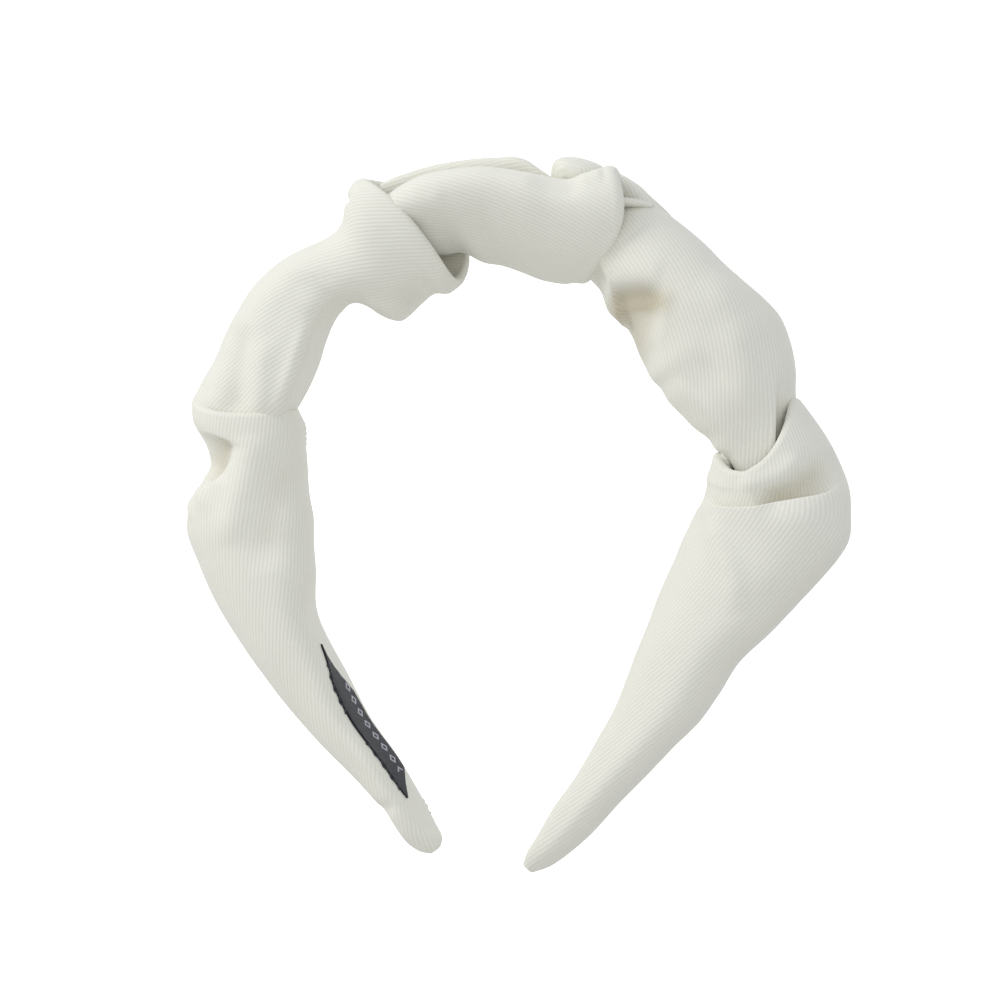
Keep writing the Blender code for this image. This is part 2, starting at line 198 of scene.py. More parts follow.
def sections(rows, count, around):
    """Grid of points over a length of tube, each point's signed girth from the front centre, the
    stations, and the girth of each station's inner end."""
    table = spline(rows, count)
    inner = np.empty(count)
    angle = angles_round(SECTION_SAMPLES)
    grid = np.empty((count, around + 1, 3))
    girth = np.empty((count, around + 1))
    for i, row in enumerate(table):
        s_out, o_out, s_in, o_in, front, back, bow_f, bow_b, p_out, p_in, _, lean = row
        power = np.where(np.cos(angle) > 0.0, p_out, p_in)
        u = signed_power(np.cos(angle), 2.0 / power)
        v = signed_power(np.sin(angle), 2.0 / power)
        y = 0.5 * (back - front) - 0.5 * (front + back) * v + lean * u
        share = 0.5 + 0.5 * u
        s = s_in + (s_out - s_in) * share
        s = s + bow_f * np.maximum(v, 0.0) ** 2 + bow_b * np.maximum(-v, 0.0) ** 2
        dense = arch(s, o_in + (o_out - o_in) * share, y)
        steps = np.linalg.norm(np.diff(dense, axis=0), axis=1)
        length = np.concatenate([[0.0], np.cumsum(steps)])
        length -= np.interp(0.5 * math.pi, angle, length)
        inner[i] = np.interp(math.pi, angle, length)
        half = around // 2
        wanted = np.concatenate(
            [np.linspace(length[0], 0.0, half + 1), np.linspace(0.0, length[-1], half + 1)[1:]]
        )
        girth[i] = wanted
        for axis in range(3):
            grid[i, :, axis] = np.interp(wanted, length, dense[:, axis])
    return grid, girth, table, inner


def normals_of(grid):
    """Outward unit normals of a grid that is closed round its columns."""
    along = np.gradient(grid, axis=0)
    body = grid[:, :-1]
    around = np.empty_like(grid)
    around[:, :-1] = np.roll(body, -1, axis=1) - np.roll(body, 1, axis=1)
    around[:, -1] = around[:, 0]
    normal = np.cross(along, around)
    normal /= np.linalg.norm(normal, axis=-1, keepdims=True) + 1e-9
    centre = body.mean(axis=1, keepdims=True)
    if ((grid - centre) * normal).sum() < 0.0:
        normal = -normal
    return normal


def weave_of(grid, girth, table):
    """Cloth coordinates in millimetres: across the ribs and along them.

    Seen from the front the ribs run straight at the stations' rib angle; round the sides they are
    spaced by the cloth's own girth.
    """
    s_mid = 0.5 * (table[:, 0] + table[:, 2])
    o_mid = 0.5 * (table[:, 1] + table[:, 3])
    path = arch(s_mid, PATH_HEIGHT, 0.0)[:, [0, 2]]
    step = np.gradient(path, axis=0)
    length = np.linalg.norm(step, axis=1)
    ahead = step / length[:, None]
    heading = np.unwrap(np.arctan2(step[:, 1], step[:, 0]))
    spin = 1.0 if s_mid[-1] > s_mid[0] else -1.0
    relative = np.radians(table[:, 10]) - heading
    lag = np.einsum("ijk,ik->ij", grid[:, :, [0, 2]] - path[:, None], ahead)
    outward = (o_mid - PATH_HEIGHT)[:, None] - girth
    sine = np.sin(relative)
    cosine = np.cos(relative)
    across_ribs = -np.cumsum(sine * length)[:, None] - sine[:, None] * lag
    across_ribs = across_ribs + spin * cosine[:, None] * outward
    along_ribs = np.cumsum(cosine * length)[:, None] + cosine[:, None] * lag
    along_ribs = along_ribs + spin * sine[:, None] * outward
    return np.stack([across_ribs, along_ribs], axis=-1)


def line_distance(points, line):
    """Signed distance in the XZ plane to a line of (s, o) places, share along it, its normal."""
    line = np.asarray(line, float)
    path = arch(line[:, 0], line[:, 1], 0.0)[:, [0, 2]]
    fine = spline(path, 24 * len(path))
    flat = points[..., [0, 2]].reshape(-1, 2)
    best = np.full(len(flat), 1e9)
    signed = np.zeros(len(flat))
    share = np.zeros(len(flat))
    across = np.zeros((len(flat), 2))
    for k in range(len(fine) - 1):
        a = fine[k]
        ab = fine[k + 1] - a
        size = np.dot(ab, ab) + 1e-12
        t = np.clip((flat - a) @ ab / size, 0.0, 1.0)
        off = flat - a - t[:, None] * ab
        d = np.hypot(off[:, 0], off[:, 1])
        closer = d < best
        best[closer] = d[closer]
        left = np.array([-ab[1], ab[0]]) / math.sqrt(size)
        signed[closer] = (np.sign(off @ left) * d)[closer]
        share[closer] = (k + t[closer]) / (len(fine) - 1)
        across[closer] = left
    shape = points.shape[:-1]
    return signed.reshape(shape), share.reshape(shape), across.reshape(shape + (2,))


def ends(share, start, finish):
    """Fades a stroke in over its first part and out over its last."""
    rise = np.clip(share / max(start, 1e-6), 0.0, 1.0)
    fall = np.clip((1.0 - share) / max(finish, 1e-6), 0.0, 1.0)
    return eased(rise) * eased(fall)


def facing(normal, side):
    """1 where the surface faces the given way (front -1, back +1), fading at the edges."""
    return np.clip((side * normal[..., 1] + 0.15) / 0.4, 0.0, 1.0)


def ridge(grid, line, reach, height, fade=(0.25, 0.25), side=-1.0):
    """Raises (or, if negative, sinks) the cloth along a line."""
    normal = normals_of(grid)
    d, share, _ = line_distance(grid, line)
    lift = height * np.exp(-((d / reach) ** 2)) * ends(share, *fade) * facing(normal, side)
    return grid + normal * lift[..., None]


def ledge(grid, line, lift, drop, reach, overlap, fade=(0.2, 0.2), side=-1.0):
    """Folds the cloth on the left of a line over the cloth on its right."""
    normal = normals_of(grid)
    d, share, across = line_distance(grid, line)
    mask = ends(share, *fade) * facing(normal, side)
    edge = np.clip(d / 0.9, -1.0, 1.0)
    edge = np.sin(edge * math.pi / 2.0)
    over = 0.5 + 0.5 * edge
    high = lift * over * np.exp(-np.maximum(d, 0.0) / reach[0])
    low = -drop * (1.0 - over) * np.exp(-np.maximum(-d, 0.0) / reach[1])
    grid = grid + normal * ((high + low) * mask)[..., None]
    slide = -overlap * edge * np.exp(-np.abs(d) / (1.6 * overlap + 0.4)) * mask
    grid[..., 0] += across[..., 0] * slide
    grid[..., 2] += across[..., 1] * slide
    return grid


def smooth(grid, passes):
    """Relaxes a grid a little."""
    body = grid[:, :-1].copy()
    for _ in range(passes):
        near = 0.5 * (np.roll(body, 1, axis=1) + np.roll(body, -1, axis=1))
        body = 0.5 * body + 0.5 * near
        inner = 0.5 * (body[:-2] + body[2:])
        body[1:-1] = 0.5 * body[1:-1] + 0.5 * inner
    return np.concatenate([body, body[:, :1]], axis=1)


def lip_rows(grid, depth_rows, weave, lip):
    """Rows that roll the mouth's edge over and run back down inside it; lip is the roll's radius."""
    normal = normals_of(grid)
    edge = grid[0]
    out = edge - grid[2]
    out /= np.linalg.norm(out, axis=-1, keepdims=True) + 1e-9
    rows = []
    uv = []
    for k in range(1, LIP_STEPS + 1):
        turn = math.pi * k / LIP_STEPS
        rows.append(edge + out * lip * math.sin(turn) - normal[0] * lip * (1.0 - math.cos(turn)))
        step = weave[0] - weave[1]
        rate = lip * turn / (np.linalg.norm(grid[0] - grid[1], axis=-1) + 1e-9)
        uv.append(weave[0] + step * rate[:, None])
    last = uv[-1]
    for k in range(1, depth_rows):
        sink = 2.0 * lip + LIP_SINK * k
        rows.append(grid[k] - normal[k] * sink)
        uv.append(last + (weave[0] - weave[k]))
    return np.array(rows[::-1]), np.array(uv[::-1])


def skin(name, grid, weave, painted_shade=None):
    """Closed mesh object from a grid, with its weave in millimetres and its painted shade in deep folds."""
    rows, columns = grid.shape[0], grid.shape[1] - 1
    verts = grid[:, :-1].reshape(-1, 3) * MM
    i, j = np.meshgrid(np.arange(rows - 1), np.arange(columns), indexing="ij")
    nj = (j + 1) % columns
    quads = np.stack(
        [i * columns + j, i * columns + nj, (i + 1) * columns + nj, (i + 1) * columns + j], axis=-1
    ).reshape(-1, 4)
    uv = np.stack(
        [weave[i, j], weave[i, j + 1], weave[i + 1, j + 1], weave[i + 1, j]], axis=2
    ).reshape(-1, 2)
    faces = quads.tolist()
    first = (rows - 1) * columns
    verts = np.vstack([verts, verts[:columns].mean(axis=0), verts[first:].mean(axis=0)])
    start_hub, end_hub = rows * columns, rows * columns + 1
    caps = [[start_hub, (k + 1) % columns, k] for k in range(columns)]
    caps += [[end_hub, first + k, first + (k + 1) % columns] for k in range(columns)]
    mesh = bpy.data.meshes.new(name)
    mesh.from_pydata(verts.tolist(), [], faces + caps)
    layer = mesh.uv_layers.new(name="weave")
    values = np.zeros((len(mesh.loops), 2))
    values[: len(uv)] = uv
    layer.data.foreach_set("uv", values.ravel())
    shade_layer = mesh.attributes.new("painted_shade", "FLOAT", "POINT")
    shade_values = np.zeros(len(verts))
    if painted_shade is not None:
        shade_values[: rows * columns] = painted_shade[:, :-1].ravel()
    shade_layer.data.foreach_set("value", shade_values)
    mesh.validate()
    centre = verts.mean(axis=0)
    corners = verts[quads[:, :3]] - centre
    volume = np.einsum("ij,ij->i", corners[:, 0], np.cross(corners[:, 1], corners[:, 2])).sum()
    if volume < 0.0:
        mesh.flip_normals()
    mesh.shade_smooth()
    item = bpy.data.objects.new(name, mesh)
    bpy.context.scene.collection.objects.link(item)
    return item


# s_out, o_out, s_in, o_in, front, back, front bow, back bow, outer power, inner power, rib angle,
# lean of the outer end to the back
LEFT_LEG = [
    (-78.5, 20.5, -75, -5, 14.5, 13.5, -2.8, 2, 2.3, 2.6, 84, 1.5),
    (-81.5, 19.5, -78, -7.5, 14.6, 13.5, -2.2, 1, 2.3, 2.4, 84, 1.5),
    (-86, 16, -83, -8.5, 14.4, 13.5, -1.2, 0, 2.2, 2.4, 84, 1.5),
    (-91.5, 16, -89, -9.5, 14.2, 13.5, 0, 0, 2.2, 2.3, 83, 2),
    (-97.5, 19.5, -97, -10, 14.6, 13.5, 0, 0, 2.2, 2.3, 84, 2),
    (-102.5, 21, -103.5, -10.5, 15, 13.3, 0, 0, 2.2, 2.3, 86, 2),
    (-109, 19.5, -110, -9.5, 14.8, 13, 0, 0, 2.2, 2.3, 88, 2),
    (-117, 18, -118, -8, 14.2, 12.5, 0, 0, 2.2, 2.5, 90, 2.5),
    (-126, 16, -126.5, -4.5, 13.2, 11.8, 0, 0, 2.2, 3, 91, 2.5),
    (-134, 14.5, -134, -3, 12.4, 11, 0, 0, 2.2, 3.6, 92, 2),
    (-144, 13, -144, -2.5, 11.2, 10.2, 0, 0, 2.2, 4, 92, 2),
    (-156, 10, -156, -2, 10, 9.2, 0, 0, 2.2, 4.2, 92, 2),
    (-168, 6, -168, -3.5, 8.8, 8.2, 0, 0, 2.2, 4.2, 92, 1.5),
    (-179, 3, -179, -4, 7.8, 7.3, 0, 0, 2.2, 3.8, 92, 1),
    (-186.5, 2.5, -186, -4.5, 6.2, 6, 0, 0, 2.2, 3, 92, 0.5),
    (-190.5, 1, -190, -5, 4, 4, 0, 0, 2.2, 2.4, 92, 0),
    (-192.5, -1, -192, -4, 1.6, 1.6, 0, 0, 2, 2, 92, 0),
]

LEFT_SHOULDER = [
    (-92, 6, -90, -4.5, 9, 8, 0, 0, 2.2, 3, 48, 1),
    (-86, 8.5, -83.5, -4.5, 10.6, 9.6, 0, 0, 2.2, 3, 48, 1.5),
    (-80, 20, -77, -3.5, 12, 11, 0, 0, 2.2, 4.4, 46, 1.5),
    (-75.5, 20, -72.5, -4.5, 12.8, 11.6, 0, 0, 2.2, 4.4, 44, 2),
    (-70, 18.5, -67.5, -5, 13.4, 12.4, 0, 0, 2.2, 4.4, 40, 2),
    (-65, 18.5, -61.5, -4.5, 13.8, 12.8, 0, 0, 2.2, 4.4, 36, 1.5),
    (-60, 18.5, -56, -3, 14, 13, 0, 0, 2.2, 4.4, 32, 1.5),
    (-55.5, 18.5, -51, -1.5, 14, 13, 0, 0, 2.2, 4.4, 28, 1),
    (-51.5, 18, -47.5, -1, 14, 13, 0, 0, 2.2, 4.4, 25, 1),
    (-47.5, 17, -44, -1.5, 14, 13, 0, 0, 2.2, 3.4, 22, 0),
    (-43.5, 15.5, -41, -5.5, 14, 13, 0, 0, 2.2, 2.8, 19, -0.5),
    (-39.5, 14, -38.8, -10, 14, 13, 0, 0, 2.2, 2.3, 16, -1),
    (-36, 13.5, -36, -12.5, 14.2, 13.2, 0, 0, 2.2, 2.2, 13, -2),
    (-33.5, 15, -32.3, -12.5, 14.5, 13.5, 0, 0, 2.2, 2.2, 10, -2),
    (-31.3, 18.5, -28, -11.5, 14.8, 13.8, 0, 1, 2.2, 2.2, 7, -2.5),
    (-29.8, 20.5, -23.2, -10.5, 15, 14, 0.3, 2, 2.2, 2.2, 5, -2.5),
    (-28.6, 21.5, -19, -11.5, 15, 14, 0.7, 4, 2.2, 2.2, 3, -2.5),
    (-27.2, 21.5, -15.8, -10.5, 15, 14, 1.1, 6, 2.2, 2.2, 2, -3),
]

CROWN = [
    (-38, 9.5, -38, -1.5, 8.6, 8.4, 0, 0, 2.2, 3.4, -6, -1),
    (-31, 12, -29, -1.5, 10.4, 8.8, 0, 0, 2.2, 3.4, -7, -3),
    (-25.5, 14, -22, -1, 12, 9.2, 0, 0, 2.2, 3.4, -9, -4.5),
    (-21, 15.5, -17.5, -2, 13, 9.6, 0, 0, 2.2, 3, -10, -5.5),
    (-16, 16.5, -13, -2.5, 13.8, 10, 0, 0, 2.2, 2.6, -12, -7),
    (-10.5, 16.5, -8, -5.5, 14.2, 10.2, 0, 0, 2.2, 2.3, -15, -8.5),
    (-5, 16.5, -3, -6.5, 14.6, 10.5, 0, 0, 2.2, 2.2, -17, -9),
    (0, 16, 3, -8, 14.8, 10.8, 0, 0, 2.2, 2.2, -20, -9),
    (4.5, 15.5, 8, -9, 15, 11, 0.5, 0, 2.2, 2.2, -23, -9),
    (9, 15.5, 12, -9, 15, 11.4, 1.2, 0, 2.2, 2.2, -26, -8),
    (12, 16, 15.5, -8.5, 15, 11.5, 3, 0, 2.2, 2.2, -29, -7.5),
    (15, 18, 18, -7.5, 15, 11.4, 4.6, 0, 2.2, 2.2, -31, -7),
    (17.5, 21.5, 20, -7, 14.6, 11.2, 5.8, 0, 2.2, 2.2, -32, -6.5),
]

RIGHT_SHOULDER = [
    (8, 10, 9, -3, 9, 8, 0, 0, 2.2, 3, -48, 0.5),
    (14, 12, 15, -4, 9.7, 8.4, 0, 0, 2.2, 3, -48, 0.5),
    (18, 13, 19, -4.5, 10.2, 8.8, 0, 0, 2.2, 2.8, -48, 0.5),
    (21.5, 14.5, 23, -5.5, 10.8, 9.4, 0, 0, 2.2, 2.4, -48, 0),
    (25, 17, 27.5, -7, 11.8, 10.6, 0, 0, 2.2, 2.3, -49, -0.5),
    (29, 18, 32, -9.5, 13.2, 12, 0, 0, 2.2, 2.3, -51, -1.5),
    (34, 18, 37, -10, 14.3, 13, 0, 0, 2.2, 2.3, -54, -1.5),
    (39, 18, 42, -11, 14.6, 13.6, 0, 0, 2.2, 2.2, -58, -1.5),
    (44, 18, 47, -12, 15, 14, 0, 0, 2.2, 2.2, -63, -1.5),
    (49, 19, 52, -12.5, 15, 14, 0, 0, 2.2, 2.2, -68, -1),
    (53.5, 20.5, 56, -12.5, 15, 14, 0, 0, 2.2, 2.2, -73, 0.5),
    (57.5, 21.5, 60, -11.5, 14.8, 14, 0, 0, 2.2, 2.2, -78, 1),
    (62, 21, 64.5, -11, 14.4, 13.8, 0, 0, 2.2, 2.2, -83, 1.5),
    (66.5, 20, 69.5, -9, 13.6, 13, 0, 0, 2.2, 2.4, -87, 1),
    (70.5, 18.5, 73.5, -7, 12.6, 12, 0, 0, 2.2, 2.6, -89, 0.5),
    (74, 17.5, 77, -4, 11.2, 10.8, 0, 0, 2.4, 3, -90, 0.5),
    (78, 16.5, 80, -2.5, 10, 9.6, 0, 0, 2.6, 3.4, -91, 0),
    (83, 15, 82, 0, 9.2, 9, 0, 0, 2.8, 3.4, -92, 0),
    (90, 13, 86, 2.5, 8.4, 8.4, 0, 0, 2.8, 3.4, -92, 0),
]

RIGHT_LEG = [
    (72.5, 19, 81.5, -3.5, 14.2, 14, 8.4, -2, 2.2, 2.4, -90, 0),
    (75.5, 21, 83.5, -4, 14.3, 14.2, 7, -1, 2.2, 2.4, -91, 0),
    (79, 23.5, 86.5, -5, 14.4, 14.4, 5.4, 0, 2.2, 2.4, -92, 0),
    (83.5, 26.5, 89, -5, 14.6, 14.5, 3.4, 0, 2.2, 2.4, -95, 0),
    (88, 29, 92.5, -5.5, 15, 14.5, 2.2, 0, 2.2, 2.4, -110, 0),
    (92.5, 30, 96, -7, 15.5, 14.5, 1, 0, 2.2, 2.3, -124, -1),
    (96.5, 30.5, 99.5, -8, 15.6, 14.5, 0, 0, 2.2, 2.2, -127, -1.5),
    (100, 29, 104, -9, 15.6, 14.4, 0, 0, 2.2, 2.2, -128, -2),
    (104.5, 26, 109, -9.5, 15.5, 14.2, 0, 0, 2.2, 2.2, -129, -2.5),
    (110, 22.5, 115, -10, 15, 13.8, 0, 0, 2.2, 2.2, -131, -3),
    (117, 19, 121.5, -10, 14.4, 13.2, 0, 0, 2.2, 2.3, -133, -4),
    (125, 15.5, 128, -9, 13.6, 12.6, 0, 0, 2.2, 2.5, -135, -4),
    (133, 15.5, 135, -7.5, 12.8, 11.8, 0, 0, 2.2, 2.8, -137, -3.5),
    (141, 15.5, 142, -5.5, 12, 11, 0, 0, 2.2, 3.2, -139, -3.5),
    (149, 14, 150, -3.5, 11, 10.2, 0, 0, 2.2, 3.6, -141, -3.5),
    (158, 12.5, 158, -2.5, 10.2, 9.6, 0, 0, 2.2, 4, -143, -3),
    (168, 10.5, 168, -1.5, 9.2, 8.8, 0, 0, 2.2, 4, -145, -2),
    (178, 9, 177.5, -1.5, 8.2, 7.8, 0, 0, 2.2, 4, -146, -1),
    (185.5, 7, 185, -1, 7, 6.6, 0, 0, 2.2, 3.4, -147, -0.5),
    (190.5, 5, 190, -1, 5, 4.8, 0, 0, 2.2, 2.8, -147, 0),
    (194, 2.5, 193.5, -0.5, 2, 2, 0, 0, 2, 2.2, -147, 0),
]


def tube(name, rows, count, around, sculpt, lip_at=None, lip=1.2, inner_rows=0, painted_shades=()):
    """One length of the knotted tube, sculpted and with a rolled mouth at its start or end.

    The strokes in the last argument (line, reach, amount) paint shade onto the cloth.  Returns the
    object, and its surface for the pieces that lie on it.
    """
    grid, girth, table, inner = sections(rows[::-1] if lip_at == "end" else rows, count, around)
    weave = weave_of(grid, girth, table)
    plain = grid
    normal = normals_of(plain)
    grid = smooth(sculpt(grid), SMOOTH_PASSES)
    # Painted shade: the colour darkens where the sculpting sinks the cloth.
    sunk = -((grid - plain) * normal).sum(axis=-1)
    painted_shade = np.clip((sunk - PAINTED_SHADE_START) / PAINTED_SHADE_SPAN, 0.0, 1.0)
    painted_shade = smooth(painted_shade[..., None], PAINTED_SHADE_PASSES)[..., 0]
    # Painted shade along each stroke's line.
    for line, reach, amount in painted_shades:
        d, share, _ = line_distance(plain, line)
        shade_stroke = np.exp(-((d / reach) ** 2)) * ends(share, 0.2, 0.3) * facing(normal, -1.0)
        painted_shade = np.clip(painted_shade + amount * shade_stroke, 0.0, 1.0)
    surface = (grid, girth, table, inner)
    if lip_at:
        extra, extra_uv = lip_rows(grid, inner_rows, weave, lip)
        grid = np.concatenate([extra, grid])
        weave = np.concatenate([extra_uv, weave])
        # Painted shade inside the rolled mouth, except its outermost rows.
        inside = np.zeros((len(extra), painted_shade.shape[1]))
        inside[: len(extra) - ROWS_WITHOUT_SHADE] = MOUTH_PAINTED_SHADE
        painted_shade = np.concatenate([inside, painted_shade])
    return skin(name, grid, weave, painted_shade), surface


def sculpt_left_leg(grid):
    """Folds below the lower left knot, a low ridge down the leg and a crease across its tip."""
    grid = ridge(grid, [(-84.0, 9.5), (-86.5, 10.2), (-89.2, 11.8), (-92.8, 13.5)], 4.0, -3.2)
    grid = ridge(
        grid, [(-82.2, -8.0), (-92.0, -6.4), (-100.8, -3.9), (-107.8, -1.4), (-116.0, 0.2)], 5.0, -1.5
    )
    grid = ridge(grid, [(-82.0, 2.4), (-90.8, 3.0), (-99.5, 6.0), (-108.0, 9.4)], 3.4, 1.0)
    grid = ridge(grid, [(-96.0, 12.0), (-97.5, 16.0), (-99.0, 20.0)], 3.0, 0.9)
    grid = ridge(grid, [(-126.0, -3.0), (-140.0, -0.6), (-158.0, 0.4), (-178.0, -0.6)], 1.8, 0.5)
    grid = ledge(
        grid,
        [(-83.0, 6.4), (-86.8, 6.8), (-90.0, 7.9), (-92.5, 10.0), (-94.6, 13.4), (-95.4, 16.5)],
        0.8,
        0.8,
        (4.0, 5.0),
        0.6,
        (0.7, 0.05),
    )
    grid = ridge(grid, [(-177.0, 4.6), (-178.2, 3.0), (-178.2, 0.6), (-177.8, -1.5)], 1.6, -0.7, (0.0, 0.6))
    return grid


def sculpt_left_shoulder(grid):
    """Folds that run up from the lower left knot, and grooves near the upper left one."""
    grid = ridge(grid, [(-80.0, 7.0), (-74.0, 8.6), (-67.0, 11.2), (-61.0, 14.4)], 3.4, -1.5)
    grid = ridge(grid, [(-80.0, 1.0), (-73.2, 2.4), (-67.2, 4.4), (-60.0, 6.6)], 2.8, 1.0)
    grid = ridge(grid, [(-44.5, -0.4), (-38.0, -5.0), (-31.0, -8.6), (-25.0, -9.6)], 3.6, -1.4)
    grid = ridge(grid, [(-31.5, -13.4), (-26.5, -10.5), (-22.0, -6.5)], 2.2, -0.9)
    grid = ridge(grid, [(-34.2, 18.0), (-31.6, 18.6), (-29.8, 17.2)], 0.8, -1.5, (0.1, 0.4))
    grid = ridge(grid, [(-80.0, -1.6), (-74.0, -2.6), (-67.0, -2.8), (-58.0, -1.2), (-50.0, 0.8)], 1.5, 1.0)
    return grid


def sculpt_crown(grid):
    """Shallow folds over the crown."""
    grid = ridge(grid, [(-24.0, 12.0), (-18.0, 9.6), (-11.0, 8.6)], 3.0, 0.9)
    grid = ridge(grid, [(-25.0, 5.0), (-17.0, 3.0), (-9.0, 1.2), (0.0, 0.6)], 4.4, -0.9)
    grid = ridge(grid, [(5.0, 14.0), (9.0, 13.4), (13.0, 13.6), (16.0, 16.0)], 2.4, -0.8, (0.4, 0.3))
    grid = ridge(grid, [(12.0, 16.6), (15.5, 17.6), (18.0, 19.6)], 1.4, 0.9, (0.4, 0.1))
    return grid


def sculpt_right_shoulder(grid):
    """Dents near the upper right knot, a long ridge, and the step by the lower right knot."""
    grid = ridge(grid, [(27.0, -3.0), (33.0, 2.4), (39.0, 7.0)], 3.6, 0.5)
    grid = ridge(grid, [(30.5, -7.4), (34.2, -4.2), (38.6, -0.2), (43.0, 4.0)], 2.4, -1.2, (0.2, 0.3))
    grid = ridge(grid, [(36.0, -9.0), (40.0, -5.0), (45.5, 0.0)], 6.5, -2.4, (0.1, 0.4))
    grid = ridge(grid, [(20.0, -7.0), (24.0, -4.5), (27.0, -1.5)], 4.0, -1.8, (0.0, 0.3))
    grid = ridge(grid, [(65.0, -4.6), (62.8, 0.2), (61.5, 5.5)], 4.6, -0.8)
    grid = ridge(grid, [(44.0, 12.0), (54.0, 13.0), (64.0, 10.0), (74.0, 7.0)], 4.0, 0.9)
    grid = ledge(
        grid,
        [(88.0, 11.8), (84.2, 12.2), (80.2, 12.8), (75.5, 13.8), (70.0, 15.6), (65.0, 17.6)],
        0.6,
        2.8,
        (4.0, 7.0),
        0.8,
        (0.02, 0.5),
    )
    return grid


def sculpt_right_leg(grid):
    """Folds round the mouth at the lower right knot, and one that runs down the leg."""
    grid = ridge(grid, [(92.0, 8.4), (90.2, 13.6), (88.6, 18.4), (86.0, 22.8), (82.0, 26.6)], 3.8, -2.9)
    grid = ridge(grid, [(86.8, 4.0), (88.0, 9.0), (85.6, 15.2), (82.0, 19.0)], 2.4, 1.2)
    grid = ridge(grid, [(96.0, -1.6), (102.5, 2.2), (108.2, 6.8), (115.8, 11.5)], 2.8, 1.1)
    grid = ledge(
        grid,
        [
            (84.5, 29.5),
            (87.5, 26.8),
            (89.5, 23.2),
            (91.0, 18.7),
            (92.4, 12.7),
            (93.4, 6.7),
            (93.9, 1.6),
            (93.9, -2.0),
            (93.6, -5.4),
        ],
        1.7,
        1.7,
        (9.0, 3.4),
        1.2,
        (0.4, 0.2),
    )
    return grid


# Painted shade strokes in the right shoulder length's dent: line, reach and amount.
RIGHT_SHOULDER_PAINTED_SHADES = (
    ([(31.0, -9.0), (34.5, -6.4), (38.5, -2.4), (42.5, 1.6), (46.0, 5.0)], 3.2, 0.85),
    ([(33.0, -12.0), (38.0, -12.0), (44.0, -11.0), (52.0, -8.5)], 4.6, 0.6),
    ([(19.0, -6.0), (22.0, -3.0), (25.0, 1.0), (26.0, 7.0)], 3.4, 0.25),
)

left_leg, leg_surface = tube("left_leg_cover", LEFT_LEG, 330, 200, sculpt_left_leg, "start", 1.3, 30)
left_shoulder, left_puff_surface = tube(
    "left_shoulder_cover", LEFT_SHOULDER, 260, 220, sculpt_left_shoulder, "end", 1.3, 30
)
crown, crown_surface = tube("crown_cover", CROWN, 200, 210, sculpt_crown, "end", 2.2, 24)
right_shoulder, _ = tube(
    "right_shoulder_cover", RIGHT_SHOULDER, 260, 220, sculpt_right_shoulder, painted_shades=RIGHT_SHOULDER_PAINTED_SHADES
)
right_leg, right_leg_surface = tube(
    "right_leg_cover", RIGHT_LEG, 360, 220, sculpt_right_leg, "start", 1.4, 36
)

# Folds behind the crown and at the upper right knot, in the same columns.
BACK_STRAND = [
    (-37, 14.5, -37, 4, -3, 8.5, 0, 0, 2.2, 2.2, 16, -3),
    (-31, 16, -31, 6.5, -2.6, 9.5, 0, 0, 2.2, 2.2, 17, -3.5),
    (-26, 19, -26, 7.5, -2.6, 10.4, 0, 0, 2.2, 2.2, 18, -3.8),
    (-19, 19.5, -19, 7, -2.6, 11, 0, 0, 2.2, 2.2, 19, -4),
    (-11, 19.5, -11, 6.5, -2.6, 11.4, 0, 0, 2.2, 2.2, 20, -4),
    (-4, 19.5, -4, 6.5, -2.6, 11.6, 0, 0, 2.2, 2.2, 18, -4),
    (1, 19.5, 1, 7, -2.8, 11.4, 0, 0, 2.2, 2.2, 14, -4),
    (5, 17, 5, 7.5, -3.2, 11, 0, 0, 2.2, 2.2, 8, -3.6),
    (9, 14.5, 9, 8, -4, 10.4, 0, 0, 2.2, 2.2, 4, -3),
]
KNOT_TUCK = [
    (13.0, 19.0, 13.0, 9.0, -2.0, 8.0, 0, 0, 2.2, 2.2, -62, -2.0),
    (18.0, 21.0, 18.0, 9.0, 0.5, 9.0, 0, 0, 2.2, 2.2, -62, -3.0),
    (22.5, 20.6, 22.5, 9.0, 1.5, 9.5, 0, 0, 2.2, 2.2, -62, -3.0),
    (26.0, 19.4, 26.0, 9.5, 1.5, 9.5, 0, 0, 2.2, 2.2, -60, -3.0),
    (30.0, 18.3, 30.0, 10.0, 0.5, 9.0, 0, 0, 2.2, 2.2, -58, -2.6),
    (34.0, 16.6, 34.0, 11.0, -2.0, 8.0, 0, 0, 2.2, 2.2, -56, -1.5),
]
KNOT_ROLL = [
    (17.0, 13.0, 17.0, 10.4, 10.8, -5.2, 0, 0, 2.2, 2.2, -20, 0.0),
    (19.6, 14.6, 19.6, 12.0, 11.2, -5.4, 0, 0, 2.2, 2.2, -20, 0.0),
    (22.4, 16.2, 22.4, 13.6, 10.8, -5.2, 0, 0, 2.2, 2.2, -20, 0.0),
    (25.2, 17.6, 25.2, 15.4, 9.0, -4.4, 0, 0, 2.2, 2.2, -20, 0.0),
    (27.8, 18.4, 27.8, 17.0, 6.4, -3.4, 0, 0, 2.2, 2.2, -20, 0.0),
]


def path_length(points):
    """Distance along rows of points, from the first."""
    steps = np.linalg.norm(np.diff(points, axis=-2), axis=-1)
    start = np.zeros(steps.shape[:-1] + (1,))
    return np.cumsum(np.concatenate([start, steps], axis=-1), axis=-1)


